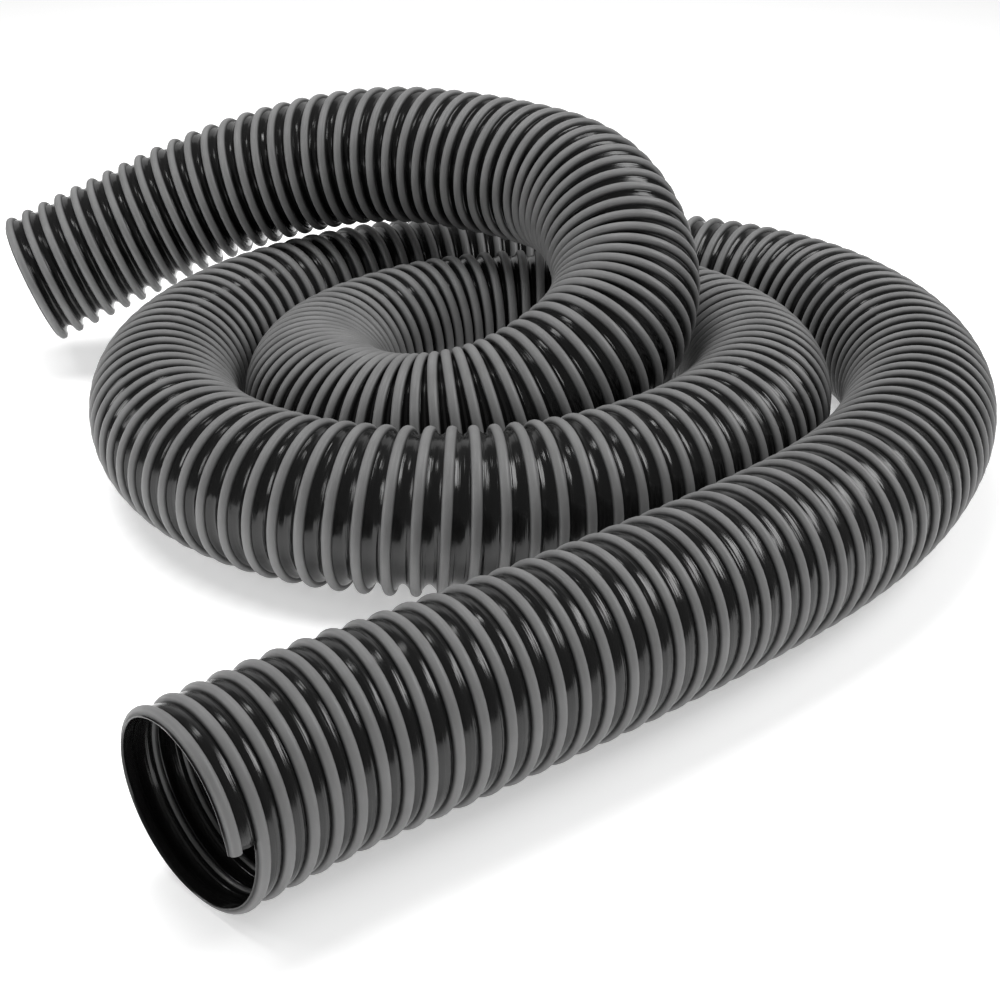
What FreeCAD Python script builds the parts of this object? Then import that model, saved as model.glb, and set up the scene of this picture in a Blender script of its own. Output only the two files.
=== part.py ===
import FreeCAD
import Part

import math
import os

# A four-inch corrugated vacuum hose, lying in two loose loops with both ends open.
#
# Units are millimetres and +Z is up. The hose lies on the plane z = 0, and the origin is on
# that plane, under the middle of the hose. The real hose is two long pieces: a flexible
# wall, and a rib wound round it as one left-handed helix. Here the wall is a thin tube, and
# the rib is a plain sleeve that fills the rib's outer shape. Both are cut square in the middle
# of the route's runs, the rib at every run and the wall at every second one, so that every
# span is a short, simple solid.

Vector = FreeCAD.Vector

# Driving dimensions
BORE_D = 102.0  # clear bore, which slips over a four-inch port
WALL_T = 1.0  # flexible wall under and between the turns of the rib
RIB_H = 3.0  # height of the rib above the wall
LAID_D = 110.0  # outer diameter of the hose that the route below is laid out for
ARC_SHARE = 0.45  # share of the shorter of its two runs that each arc takes up
CORNERS_PER_SPAN = {"wall": 2, "rib": 1}  # corners of the route in each span

BORE_R = BORE_D / 2
WALL_R = BORE_R + WALL_T
RIB_R = WALL_R + RIB_H

# Route of the centreline of a hose LAID_D across, from the mouth at the front to the raised
# end at the back. A fatter or slimmer hose lies in loops that are larger or smaller with it.
LOW = LAID_D / 2
ROUTE = [
    # front run, from the mouth
    (-125.0, -400.0, LOW),
    (0.0, -302.5, LOW),
    (132.5, -205.0, LOW),
    (255.0, -95.0, LOW),
    # right-hand bend and back of the wide loop
    (322.5, 15.0, LOW),
    (350.0, 117.5, LOW),
    (337.5, 225.0, LOW),
    (282.5, 322.5, LOW),
    (170.0, 382.5, LOW),
    # left side and front of the wide loop
    (7.5, 387.5, LOW),
    (-152.5, 300.0, LOW),
    (-227.5, 150.0, LOW),
    (-195.0, 0.0, LOW),
    (-85.0, -87.5, LOW),
    (72.5, -87.5, LOW),
    # small loop inside the wide one
    (202.5, 20.0, LOW),
    (237.5, 147.5, LOW),
    (162.5, 267.5, LOW),
    (2.5, 270.0, LOW),
    (-97.5, 177.5, LOW),
    (-107.5, 85.0, LOW),
    (-40.0, 22.5, LOW),
    # climb over both loops, then down to the free end
    (52.5, 35.0, 70.0),
    (135.0, 110.0, 115.0),
    (112.5, 207.5, 175.0),
    (35.0, 280.0, 180.0),
    (-72.5, 327.5, 180.0),
    (-192.5, 345.0, 147.5),
    (-290.0, 327.5, 105.0),
    (-372.5, 302.5, 70.0),
]


def corner(before, at, after):
    """One corner of the route: where its arc starts, passes and ends, and the arc's radius."""
    run_in, run_out = at - before, after - at
    turn = run_in.getAngle(run_out)
    trim = ARC_SHARE * min(run_in.Length, run_out.Length)
    radius = trim / math.tan(turn / 2)
    into = Vector(run_in).normalize()
    out_of = Vector(run_out).normalize()
    inward = (out_of - into).normalize()
    depth = radius / math.cos(turn / 2) - radius
    return at - into * trim, at + inward * depth, at + out_of * trim, radius


def centreline(points):
    """The path's corners, each a straight piece, an arc and a straight piece, and the radii.

    The path is cut in the middle of every run but the first and the last.
    """
    last = len(points) - 2
    corners, radii = [], []
    for i in range(1, last + 1):
        start = points[0] if i == 1 else (points[i - 1] + points[i]) * 0.5
        end = points[-1] if i == last else (points[i] + points[i + 1]) * 0.5
        arc_start, arc_middle, arc_end, radius = corner(*points[i - 1 : i + 2])
        corners.append(
            [
                Part.LineSegment(start, arc_start).toShape(),
                Part.Arc(arc_start, arc_middle, arc_end).toShape(),
                Part.LineSegment(arc_end, end).toShape(),
            ]
        )
        radii.append(radius)
    return corners, radii


def tube(edges, inner_r, outer_r):
    """One solid tube round a stretch of the path."""
    start = edges[0].valueAt(edges[0].FirstParameter)
    along = edges[0].tangentAt(edges[0].FirstParameter)
    path = Part.Wire(edges)
    rods = []
    for radius in (outer_r, inner_r):
        ring = Part.Wire(Part.Circle(start, along, radius).toShape())
        rods.append(path.makePipeShell([ring], True, False))
    return rods[0].cut(rods[1])


def export(shape, name):
    """Write one sub-part, after making sure that it is a single sound solid."""
    solid = shape.Solids[0]
    if len(shape.Solids) != 1 or not solid.isValid():
        raise RuntimeError(f"{name} is not one valid solid")
    solid.exportStep(os.path.join("parts", f"{name}.step"))
    return solid


def main():
    os.makedirs("parts", exist_ok=True)
    spread = 2 * RIB_R / LAID_D
    corners, radii = centreline([Vector(*point) * spread for point in ROUTE])
    length = sum(edge.Length for edges in corners for edge in edges)
    layers = {"wall": (BORE_R, WALL_R), "rib": (WALL_R, RIB_R)}
    for layer, (inner_r, outer_r) in layers.items():
        volume = 0.0
        step = CORNERS_PER_SPAN[layer]
        for span, first in enumerate(range(0, len(corners), step), start=1):
            stretch = corners[first : first + step]
            edges = [edge for piece in stretch for edge in piece]
            volume += export(tube(edges, inner_r, outer_r), f"{layer}_{span:02d}").Volume
        plain = math.pi * (outer_r**2 - inner_r**2) * length
        print(f"{layer}: {volume / 1e3:.1f} cm3, section times length {plain / 1e3:.1f} cm3")
    print(f"length of the centreline: {length:.0f} mm")
    print("radii of the arcs:", ", ".join(f"{radius:.0f}" for radius in radii))


main()
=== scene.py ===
import math

import bpy
import numpy as np
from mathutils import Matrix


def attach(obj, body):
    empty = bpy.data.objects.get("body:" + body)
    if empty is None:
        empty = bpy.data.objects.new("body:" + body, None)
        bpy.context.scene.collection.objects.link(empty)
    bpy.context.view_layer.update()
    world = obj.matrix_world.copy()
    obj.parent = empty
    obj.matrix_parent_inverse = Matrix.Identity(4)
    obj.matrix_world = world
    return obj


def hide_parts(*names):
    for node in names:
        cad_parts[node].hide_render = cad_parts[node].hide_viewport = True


# A four-inch corrugated vacuum hose in two loose loops: a glossy black film between the
# turns of a satin grey rib, which is wound round it as one left-handed helix. The film
# bulges a little in the front run, and is drawn in past it. Lengths are metres, and +Z
# is up.

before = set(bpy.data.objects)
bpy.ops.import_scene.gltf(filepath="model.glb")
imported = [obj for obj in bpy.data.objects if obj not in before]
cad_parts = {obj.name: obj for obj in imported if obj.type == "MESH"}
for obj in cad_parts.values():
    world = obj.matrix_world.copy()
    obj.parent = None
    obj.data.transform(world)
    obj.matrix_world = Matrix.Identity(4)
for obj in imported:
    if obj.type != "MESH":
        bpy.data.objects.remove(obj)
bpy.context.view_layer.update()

# Sizes
RIB_R = 0.055  # outside of the rib
FOOT_R = 0.0513  # where the film meets the foot of the rib
RIB_W = 0.0073  # width of the rib
BEAD_POWER = 2.1  # roundness of the rib's section: 2 is an ellipse, and more is boxier
CLOSED = 0.97  # most of the room from turn to turn that the rib may fill in a bend
# Lengths along the hose, and the share of the rib's width that the film leaves bare
BARE = [
    (0.9, 0.87),
    (1.3, 1.00),
    (3.2, 1.00),
    (3.6, 0.92),
]
# Lengths along the hose, and the rib's pitch there where the hose is straight
PITCHES = [
    (0.0, 0.0160),
    (0.02, 0.0143),
    (0.10, 0.0150),
    (0.30, 0.0165),
    (1.20, 0.0162),
    (2.60, 0.0155),
    (3.70, 0.0150),
]
CLOSING = 1.11  # how fast the pitch closes with bending, past the free bend
FREE_BEND = 0.20  # outer radius over bend radius up to which the pitch stays
FILM_SPAN = 0.0144  # length of the film from rib to rib, measured along the film
FILM_T = 0.0006  # thickness of the film
FILM_UP = 0.0002  # how far the film under the rib stands above the rib's foot
FILM_EDGE = 0.48  # where the film leaves the rib, in rib widths from the rib's middle
HOLLOW_POWER = 1.8  # shape of the film between two turns: 2 is a parabola
BAND_W = 0.0030  # strip of the rib's underside that shows inside the hose
BAND_COVER = 1.3  # width of that strip's mesh, in strips: the film hides its edges
RIDGE_H = 0.0010  # how far that strip stands into the bore
LIP = 0.0008  # how far the cut film stands out past the rib at both ends
LIP_EDGE = 0.46  # where the cut film starts under the rib, in rib widths from its middle
LIP_DOWN = 0.0001  # how far the cut film lies below the rib's foot
FRONT_SAG = -0.25  # share of its slack that the film sinks in by at the front mouth
BACK_SAG = 0.72  # the same past the front run
FRONT_RUN = (0.35, 0.90)  # lengths between which the one becomes the other
UNDER_SAG = 0.35  # added on the underside, and taken off on top
START_ANGLE = math.radians(10.5)  # where the rib starts, up from the mouth's right side
END_UP = math.radians(10.0)  # where it ends, up from the far side of the raised end
STEPS = 56  # steps of the meshes in one turn
LINE_POINTS = 4001  # points that the centreline is worked out at

# Route of the centreline, from the front mouth to the raised end
LOW = RIB_R
ROUTE = [
    # front run, from the mouth
    (-0.1225, -0.4015, LOW),
    (-0.068, -0.350, LOW),
    (0.0025, -0.3025, LOW),
    (0.1325, -0.205, LOW),
    (0.255, -0.095, LOW),
    # right-hand bend and back of the wide loop
    (0.3225, 0.015, LOW),
    (0.350, 0.1175, LOW),
    (0.3375, 0.225, LOW),
    (0.2825, 0.3225, LOW),
    (0.170, 0.3825, LOW),
    # left side and front of the wide loop
    (0.0075, 0.3875, LOW),
    (-0.1525, 0.300, LOW),
    (-0.2275, 0.150, LOW),
    (-0.195, 0.000, LOW),
    (-0.085, -0.0875, LOW),
    (0.0725, -0.0875, LOW),
    # small loop inside the wide one
    (0.2025, 0.020, LOW),
    (0.2375, 0.1475, LOW),
    (0.1625, 0.2675, LOW),
    (0.0025, 0.270, LOW),
    (-0.0975, 0.1775, LOW),
    (-0.1075, 0.085, LOW),
    (-0.040, 0.0225, LOW),
    # climb over both loops, then down to the free end
    (0.0525, 0.035, 0.070),
    (0.135, 0.110, 0.115),
    (0.1125, 0.2075, 0.175),
    (0.035, 0.280, 0.180),
    (-0.0725, 0.3275, 0.180),
    (-0.1925, 0.345, 0.1475),
    (-0.290, 0.3275, 0.105),
    (-0.3725, 0.3025, 0.070),
]


def place_camera():
    """The camera, above and in front of the loops."""
    down = 0.4762  # how far below level it looks, in radians
    data = bpy.data.cameras.new("camera")
    data.sensor_width = 36.0
    data.lens = 57.77
    data.shift_y = 0.0066
    camera = bpy.data.objects.new("camera", data)
    camera.location = (0.0327, -1.0004, 0.5294)
    camera.rotation_euler = (math.pi / 2 - down, 0.0, 0.0)
    bpy.context.scene.collection.objects.link(camera)
    bpy.context.scene.camera = camera


def smooth_line():
    """Points along the route's NURBS spline."""
    curve = bpy.data.curves.new("route", "CURVE")
    curve.dimensions = "3D"
    spline = curve.splines.new("NURBS")
    spline.points.add(len(ROUTE) - 1)
    for point, place in zip(spline.points, ROUTE):
        point.co = (*place, 1.0)
    spline.order_u = 3
    spline.use_endpoint_u = True
    spline.resolution_u = 64
    route = bpy.data.objects.new("route", curve)
    mesh = bpy.data.meshes.new_from_object(route)
    points = np.empty(len(mesh.vertices) * 3)
    mesh.vertices.foreach_get("co", points)
    bpy.data.meshes.remove(mesh)
    bpy.data.objects.remove(route)
    bpy.data.curves.remove(curve)
    return points.reshape(-1, 3)


def unit(vectors):
    return vectors / np.linalg.norm(vectors, axis=-1, keepdims=True)


class Centreline:
    """The centreline by its own length, with side directions that don't twist."""

    def __init__(self, points):
        steps = np.linalg.norm(np.diff(points, axis=0), axis=1)
        along = np.concatenate([[0.0], np.cumsum(steps)])
        self.length = along[-1]
        self.s = np.linspace(0.0, self.length, LINE_POINTS)
        self.centre = self._at(along, points, self.s)
        self.ahead = unit(np.gradient(self.centre, self.s, axis=0))
        self.right = self._sides()
        self.up = np.cross(self.right, self.ahead)

    @staticmethod
    def _at(along, values, s):
        parts = [np.interp(s, along, values[:, i]) for i in range(3)]
        return np.stack(parts, axis=-1)

    def _sides(self):
        """Side directions, each turned from the last only as far as the line turns."""
        side = unit(np.cross(self.ahead[0], (0.0, 0.0, 1.0)))
        sides = [side]
        for ahead in self.ahead[1:]:
            side = side - ahead * np.dot(side, ahead)
            side = side / np.linalg.norm(side)
            sides.append(side)
        return np.array(sides)

    def bend(self):
        """Outer radius over bend radius, evened out over the hose's width."""
        turn = np.linalg.norm(np.gradient(self.ahead, self.s, axis=0), axis=1) * RIB_R
        width = int(len(self.s) * RIB_R / self.length)
        window = np.hanning(2 * width + 1)
        padded = np.pad(turn, width, mode="edge")
        return np.convolve(padded, window / window.sum(), mode="valid")

    def place(self, s, angle, radius):
        """Points at a length, an angle and a distance from the centreline."""
        centre = self._at(self.s, self.centre, s)
        right = self._at(self.s, self.right, s)
        up = self._at(self.s, self.up, s)
        outward = right * np.cos(angle)[..., None] + up * np.sin(angle)[..., None]
        return centre + unit(outward) * radius[..., None]


class Helix:
    """The rib's left-handed helix: where each step of each turn lies along the hose."""

    def __init__(self, line):
        self.line = line
        tight = np.clip(line.bend() - FREE_BEND, 0.0, None)
        pitch = np.interp(line.s, *zip(*PITCHES)) * (1.0 - CLOSING * tight)
        turns = np.concatenate([[0.0], np.cumsum(np.diff(line.s) / pitch[1:])])
        first, last = RIB_W / 2, line.length - RIB_W / 2
        turn_first, turn_last = np.interp([first, last], line.s, turns)
        total = turn_last - turn_first
        part = (self._end_angle() - START_ANGLE) / (2 * math.pi)
        whole = round(total - part)
        turns = turns * (whole + part) / total
        turn_first = np.interp(first, line.s, turns)
        count = int((whole + part) * STEPS)
        turn = np.arange(count + 1) / STEPS
        self.angle = START_ANGLE + 2 * math.pi * turn
        self.s = np.interp(turn_first + turn, turns, line.s)
        self.arc = 2 * math.pi * RIB_R * turn
        reach = RIB_W / 2
        radius = np.full_like(self.s, RIB_R)
        before = line.place(self.s - reach, self.angle, radius)
        after = line.place(self.s + reach, self.angle, radius)
        self.stretch = np.linalg.norm(after - before, axis=1) / (2 * reach)
        room = np.interp(self.s, line.s, pitch) * self.stretch
        bare = RIB_W * np.interp(self.s, *zip(*BARE))
        self.width = np.minimum(bare, CLOSED * room)

    def _end_angle(self):
        """The angle at the raised end that is END_UP above its level far side."""
        ahead, right, up = self.line.ahead[-1], self.line.right[-1], self.line.up[-1]
        level = unit(np.cross(ahead, (0.0, 0.0, 1.0)))
        return math.atan2(np.dot(level, up), np.dot(level, right)) + END_UP

    def offset(self, across):
        """Length along the centreline of a distance across the rib where the rib is."""
        return across / self.stretch[:, None]


def grid_object(name, points, along, across):
    """A mesh of quads over a grid of points, with a map of its two lengths."""
    rows, cols = points.shape[:2]
    index = np.arange(rows * cols).reshape(rows, cols)
    quads = np.stack(
        [index[:-1, :-1], index[:-1, 1:], index[1:, 1:], index[1:, :-1]], axis=-1
    ).reshape(-1, 4)
    mesh = bpy.data.meshes.new(name)
    mesh.vertices.add(rows * cols)
    mesh.vertices.foreach_set("co", points.ravel().astype(np.float32))
    mesh.loops.add(quads.size)
    mesh.loops.foreach_set("vertex_index", quads.ravel().astype(np.int32))
    mesh.polygons.add(len(quads))
    starts = np.arange(0, quads.size, 4, dtype=np.int32)
    mesh.polygons.foreach_set("loop_start", starts)
    mesh.update(calc_edges=True)
    mesh.shade_smooth()
    lengths = np.stack(np.broadcast_arrays(along, across), axis=-1).reshape(-1, 2)
    layer = mesh.uv_layers.new(name="lengths")
    corners = lengths[quads.ravel()]
    layer.data.foreach_set("uv", corners.ravel().astype(np.float32))
    piece = bpy.data.objects.new(name, mesh)
    bpy.context.scene.collection.objects.link(piece)
    return piece


def thicken(piece):
    """Give a sheet of the film its thickness, towards the bore."""
    shell = piece.modifiers.new("thickness", "SOLIDIFY")
    shell.thickness = FILM_T
    shell.offset = -1.0


def close_end(piece, first, count):
    """Fill the flat cut end of the rib, over the vertices of one of its rows."""
    mesh = piece.data
    vertices = [mesh.vertices[first + i].co.copy() for i in range(count)]
    cap = bpy.data.meshes.new(piece.name + "_end")
    cap.from_pydata(vertices, [], [tuple(range(count))])
    end = bpy.data.objects.new(cap.name, cap)
    bpy.context.scene.collection.objects.link(end)
    return end


def make_rib(line, helix):
    """The rounded bead, proud of the film, from its foot on one side to the other."""
    t = np.linspace(0.0, math.pi, 13)
    power = 2 / BEAD_POWER
    across = -np.sign(np.cos(t)) * np.abs(np.cos(t)) ** power / 2
    height = np.sin(t).clip(0.0) ** power * (RIB_R - FOOT_R)
    across = helix.width[:, None] * across
    s = helix.s[:, None] + helix.offset(across)
    angle = np.broadcast_to(helix.angle[:, None], s.shape)
    radius = np.broadcast_to(FOOT_R + height, s.shape)
    points = line.place(s, angle, radius)
    around = np.broadcast_to(t * RIB_W / 2, s.shape)
    rib = grid_object("rib", points, helix.arc[:, None], around)
    ends = [
        close_end(rib, 0, len(t)),
        close_end(rib, (len(helix.s) - 1) * len(t), len(t)),
    ]
    return rib, ends


def sag(line, s, angle):
    """Share of its slack that the film sinks in by, or bulges out by if negative."""
    share = np.clip((s - FRONT_RUN[0]) / (FRONT_RUN[1] - FRONT_RUN[0]), 0.0, 1.0)
    along = FRONT_SAG + (BACK_SAG - FRONT_SAG) * share * share * (3.0 - 2.0 * share)
    outside = line.place(s, angle, np.full_like(s, RIB_R))
    spoke = outside - line.place(s, angle, np.zeros_like(s))
    return along - UNDER_SAG * share * spoke[:, 2] / RIB_R


def make_film(line, helix):
    """The film from each turn to the next: under the rib, and free between its turns."""
    here = slice(None, -STEPS)
    there = slice(STEPS, None)
    angle = helix.angle[here]
    under = BAND_W / 2
    edges = [
        helix.s[here] + under / helix.stretch[here],
        helix.s[here] + FILM_EDGE * helix.width[here] / helix.stretch[here],
        helix.s[there] - FILM_EDGE * helix.width[there] / helix.stretch[there],
        helix.s[there] - under / helix.stretch[there],
    ]
    start, end = edges[1:3]
    foot = np.full_like(start, FOOT_R)
    chord = line.place(end, angle, foot) - line.place(start, angle, foot)
    gap = np.linalg.norm(chord, axis=1)
    # the depth of a shallow arc, from its length and its chord
    slack = np.sqrt(np.clip(FILM_SPAN**2 - gap**2, 0.0, None) * 3 / 16)
    dip = slack * sag(line, (start + end) / 2, angle)
    share = np.linspace(0.0, 1.0, 11)
    hollow = 1.0 - np.abs(2 * share - 1.0) ** HOLLOW_POWER
    free = start[:, None] + (end - start)[:, None] * share
    s = np.concatenate([edges[0][:, None], free, edges[3][:, None]], axis=1)
    depth = np.concatenate([[0.0], hollow, [0.0]])
    radius = FOOT_R + FILM_UP - dip[:, None] * depth
    points = line.place(s, np.broadcast_to(angle[:, None], s.shape), radius)
    across = np.concatenate([[-under], share * FILM_SPAN, [FILM_SPAN + under]])
    film = grid_object("wall", points, helix.arc[here][:, None], across)
    thicken(film)
    return film


def make_lip(line, helix, turn, side):
    """The film's cut edge at one end, under the rib's last turn and a little past it."""
    width = helix.width[turn][:, None]
    share = np.linspace(0.0, 1.0, 5)
    reach = (LIP_EDGE + 0.5) * width + LIP
    across = side * (reach * share - LIP_EDGE * width)
    s = helix.s[turn][:, None] + across / helix.stretch[turn][:, None]
    angle = np.broadcast_to(helix.angle[turn][:, None], s.shape)
    radius = np.full_like(s, FOOT_R - LIP_DOWN)
    points = line.place(s, angle, radius)[:, ::side]
    lip = grid_object("wall_lip", points, helix.arc[turn][:, None], across)
    thicken(lip)
    return lip


def make_underside(line, helix):
    """The strip of the rib's underside that the film leaves bare inside the hose.

    It skips the first and last turns, where the lips of film cover it.
    """
    inner = slice(STEPS, -STEPS)
    share = np.linspace(-0.5, 0.5, 7)
    across = np.minimum(helix.width, BAND_COVER * BAND_W)[inner, None] * share
    s = helix.s[inner, None] + across / helix.stretch[inner, None]
    angle = np.broadcast_to(helix.angle[inner, None], s.shape)
    crown = (1.0 - (2 * share) ** 2) * (RIDGE_H + FILM_T)
    radius = np.broadcast_to(FOOT_R - crown, s.shape)
    points = line.place(s, angle, radius)[:, ::-1]
    arc = helix.arc[inner, None]
    return grid_object("rib_underside", points, arc, share * RIB_W)


class Nodes:
    """A few short ways to build a material's nodes."""

    def __init__(self, name):
        self.material = bpy.data.materials.new(name)
        self.material.use_nodes = True
        self.tree = self.material.node_tree
        self.shader = self.tree.nodes["Principled BSDF"]

    def add(self, kind, **values):
        node = self.tree.nodes.new(kind)
        for key, value in values.items():
            setattr(node, key, value)
        return node

    def link(self, out, into):
        self.tree.links.new(out, into)

    def noise(self, source, scale, detail=3.0, roughness=0.5):
        """A noise over a source, with so many features per metre along each axis."""
        mapping = self.add("ShaderNodeMapping")
        mapping.inputs["Scale"].default_value = scale
        self.link(source, mapping.inputs["Vector"])
        noise = self.add("ShaderNodeTexNoise")
        noise.inputs["Scale"].default_value = 1.0
        noise.inputs["Detail"].default_value = detail
        noise.inputs["Roughness"].default_value = roughness
        self.link(mapping.outputs["Vector"], noise.inputs["Vector"])
        return noise.outputs["Fac"]

    def ramp(self, factor, low, high, at=(0.35, 0.65)):
        """A colour that goes from low to high between two values of the factor."""
        ramp = self.add("ShaderNodeValToRGB")
        for stop, place, value in zip(ramp.color_ramp.elements, at, (low, high)):
            stop.position = place
            stop.color = (*value, 1.0)
        self.link(factor, ramp.inputs["Fac"])
        return ramp.outputs["Color"]

    def painted_shade_across_rib(self, lengths):
        """Painted shade for the rib: white over its crown, and darker down both flanks
        to the feet, where the film meets it.
        """
        parts = self.add("ShaderNodeSeparateXYZ")
        self.link(lengths, parts.inputs["Vector"])
        share = self.add("ShaderNodeMapRange")
        share.inputs["From Max"].default_value = math.pi * RIB_W / 2
        self.link(parts.outputs["Y"], share.inputs["Value"])
        fold = self.add("ShaderNodeMath", operation="PINGPONG")
        fold.inputs[1].default_value = 0.5
        self.link(share.outputs["Result"], fold.inputs[0])
        foot = fold.outputs["Value"]
        return self.ramp(foot, grey(0.15), grey(1.0), at=(0.04, 0.22))

    def bump(self, height, distance, strength=1.0, under=None):
        bump = self.add("ShaderNodeBump")
        bump.inputs["Strength"].default_value = strength
        bump.inputs["Distance"].default_value = distance
        self.link(height, bump.inputs["Height"])
        if under is not None:
            self.link(under, bump.inputs["Normal"])
        return bump.outputs["Normal"]


def grey(value):
    """A neutral grey."""
    return (value, value, value)


def rib_material():
    """Satin grey PVC, with extrusion lines along the bead, faint mottling and scuffs,
    and painted shade that darkens its flanks towards the feet.
    """
    nodes = Nodes("rib")
    lengths = nodes.add("ShaderNodeUVMap", uv_map="lengths").outputs["UV"]
    place = nodes.add("ShaderNodeTexCoord").outputs["Object"]
    mottle = nodes.noise(place, (38.0, 38.0, 38.0), detail=4.0)
    body = nodes.ramp(mottle, grey(0.162), grey(0.196))
    # painted shade: the rib's colour is multiplied darker down both flanks to its feet
    flank_shade = nodes.painted_shade_across_rib(lengths)
    shade = nodes.add("ShaderNodeMix", data_type="RGBA", blend_type="MULTIPLY")
    shade.inputs["Factor"].default_value = 1.0
    # the node's sockets for numbers have the same names, so its colours go by number
    first, second, result = shade.inputs[6], shade.inputs[7], shade.outputs[2]
    nodes.link(body, first)
    nodes.link(flank_shade, second)
    nodes.link(result, nodes.shader.inputs["Base Color"])
    scuff = nodes.noise(lengths, (60.0, 900.0, 1.0), detail=4.0, roughness=0.6)
    nodes.link(
        nodes.ramp(scuff, grey(0.40), grey(0.56)), nodes.shader.inputs["Roughness"]
    )
    line = nodes.noise(lengths, (9.0, 2600.0, 1.0), detail=2.0)
    grain = nodes.noise(place, (2400.0, 2400.0, 2400.0), detail=2.0)
    fine = nodes.bump(line, 0.00006, 0.6)
    normal = nodes.bump(grain, 0.00003, 0.5, under=fine)
    nodes.link(normal, nodes.shader.inputs["Normal"])
    nodes.shader.inputs["IOR"].default_value = 1.5
    return nodes.material


def film_material():
    """Glossy black film, faintly drawn along the turns, with slight waves and dust."""
    nodes = Nodes("wall")
    lengths = nodes.add("ShaderNodeUVMap", uv_map="lengths").outputs["UV"]
    place = nodes.add("ShaderNodeTexCoord").outputs["Object"]
    dust = nodes.noise(place, (900.0, 900.0, 900.0), detail=3.0, roughness=0.7)
    nodes.link(
        nodes.ramp(dust, grey(0.006), grey(0.015), at=(0.55, 0.8)),
        nodes.shader.inputs["Base Color"],
    )
    haze = nodes.noise(lengths, (25.0, 260.0, 1.0), detail=3.0)
    nodes.link(
        nodes.ramp(haze, grey(0.10), grey(0.24)), nodes.shader.inputs["Roughness"]
    )
    wave = nodes.noise(lengths, (45.0, 120.0, 1.0), detail=2.0)
    folds = nodes.noise(lengths, (7.0, 420.0, 1.0), detail=2.0)
    drawn = nodes.noise(lengths, (12.0, 1500.0, 1.0), detail=2.0)
    soft = nodes.bump(wave, 0.0008, 0.5)
    creased = nodes.bump(folds, 0.0006, 0.6, under=soft)
    normal = nodes.bump(drawn, 0.00005, 0.5, under=creased)
    nodes.link(normal, nodes.shader.inputs["Normal"])
    nodes.shader.inputs["IOR"].default_value = 1.53
    return nodes.material


def underside_painted_shade_material():
    """The rib's underside inside the hose: the rib's own grey painted much darker, as
    painted shade for the shade inside the bore.
    """
    nodes = Nodes("rib_underside")
    lengths = nodes.add("ShaderNodeUVMap", uv_map="lengths").outputs["UV"]
    mottle = nodes.noise(lengths, (30.0, 500.0, 1.0))
    # painted shade: the same rib plastic, given a far darker grey than the rib outside
    nodes.link(
        nodes.ramp(mottle, grey(0.045), grey(0.070)), nodes.shader.inputs["Base Color"]
    )
    nodes.shader.inputs["Roughness"].default_value = 0.38
    return nodes.material


def make_hose():
    """Build the hose's pieces, and say what each one stands for."""
    line = Centreline(smooth_line())
    helix = Helix(line)
    rib, ends = make_rib(line, helix)
    film = make_film(line, helix)
    lips = [
        make_lip(line, helix, slice(None, STEPS + 1), -1),
        make_lip(line, helix, slice(-STEPS - 1, None), 1),
    ]
    underside = make_underside(line, helix)
    satin = rib_material()
    for piece in [rib, *ends]:
        piece.data.materials.append(satin)
    glossy = film_material()
    for piece in [film, *lips]:
        piece.data.materials.append(glossy)
    underside.data.materials.append(underside_painted_shade_material())
    pieces = [rib, *ends, *lips, underside]
    for piece in [film, *pieces]:
        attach(piece, "hose")
    names = list(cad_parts)
    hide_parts(*[name for name in names if name.startswith("wall")])
    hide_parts(*[name for name in names if name.startswith("rib")])


def make_floor():
    """A plain pale floor, far larger than the hose."""
    mesh = bpy.data.meshes.new("floor")
    half = 30.0
    corners = [
        (-half, -half, 0.0),
        (half, -half, 0.0),
        (half, half, 0.0),
        (-half, half, 0.0),
    ]
    mesh.from_pydata(corners, [], [(0, 1, 2, 3)])
    floor = bpy.data.objects.new("floor", mesh)
    bpy.context.scene.collection.objects.link(floor)
    material = bpy.data.materials.new("floor")
    material.use_nodes = True
    shader = material.node_tree.nodes["Principled BSDF"]
    shader.inputs["Base Color"].default_value = (0.92, 0.92, 0.92, 1.0)
    shader.inputs["Roughness"].default_value = 0.9
    shader.inputs["Specular IOR Level"].default_value = 0.1
    shader.inputs["Emission Color"].default_value = (1.0, 1.0, 1.0, 1.0)
    shader.inputs["Emission Strength"].default_value = 0.42
    mesh.materials.append(material)


def area_light(name, place, aim, size, power, mirrored=True):
    """A rectangular soft box that points at a place, and may stay out of reflections."""
    data = bpy.data.lights.new(name, "AREA")
    data.shape = "RECTANGLE"
    data.size, data.size_y = size
    data.energy = power
    light = bpy.data.objects.new(name, data)
    light.visible_glossy = mirrored
    light.location = place
    away = np.array(place) - np.array(aim)
    flat = math.hypot(away[0], away[1])
    tilt, turn = math.atan2(flat, away[2]), math.atan2(away[0], -away[1])
    light.rotation_euler = (tilt, 0.0, turn)
    bpy.context.scene.collection.objects.link(light)


def light_scene():
    """Soft studio light: a dim room, with sizes in metres and powers in watts.

    A wide light overhead and a fill for the mouth give light without a reflection of
    their own. The back panel and the soft boxes also give the film its highlights.
    """
    world = bpy.data.worlds.new("room")
    world.use_nodes = True
    background = world.node_tree.nodes["Background"]
    background.inputs["Color"].default_value = (1.0, 1.0, 1.0, 1.0)
    background.inputs["Strength"].default_value = 0.15
    bpy.context.scene.world = world
    middle = (0.05, -0.05, 0.05)
    mouth = ROUTE[0]
    area_light("overhead", (-0.5, 0.5, 2.0), middle, (1.6, 1.2), 38.0, mirrored=False)
    area_light("back_panel", (0.3, 3.0, 1.4), middle, (5.0, 2.2), 15.0)
    area_light("front_fill", (-0.6, -1.35, 0.4), mouth, (0.6, 0.4), 3.5, mirrored=False)
    area_light("right_box", (1.15, 0.05, 1.15), middle, (1.0, 0.6), 11.0)
    area_light("left_box", (-1.25, -0.15, 0.65), middle, (0.35, 0.5), 2.5)
    area_light("top_box", (-0.35, 0.15, 1.6), middle, (0.35, 0.25), 2.0)
    bpy.context.scene.view_settings.view_transform = "Standard"


place_camera()
make_hose()
make_floor()
light_scene()
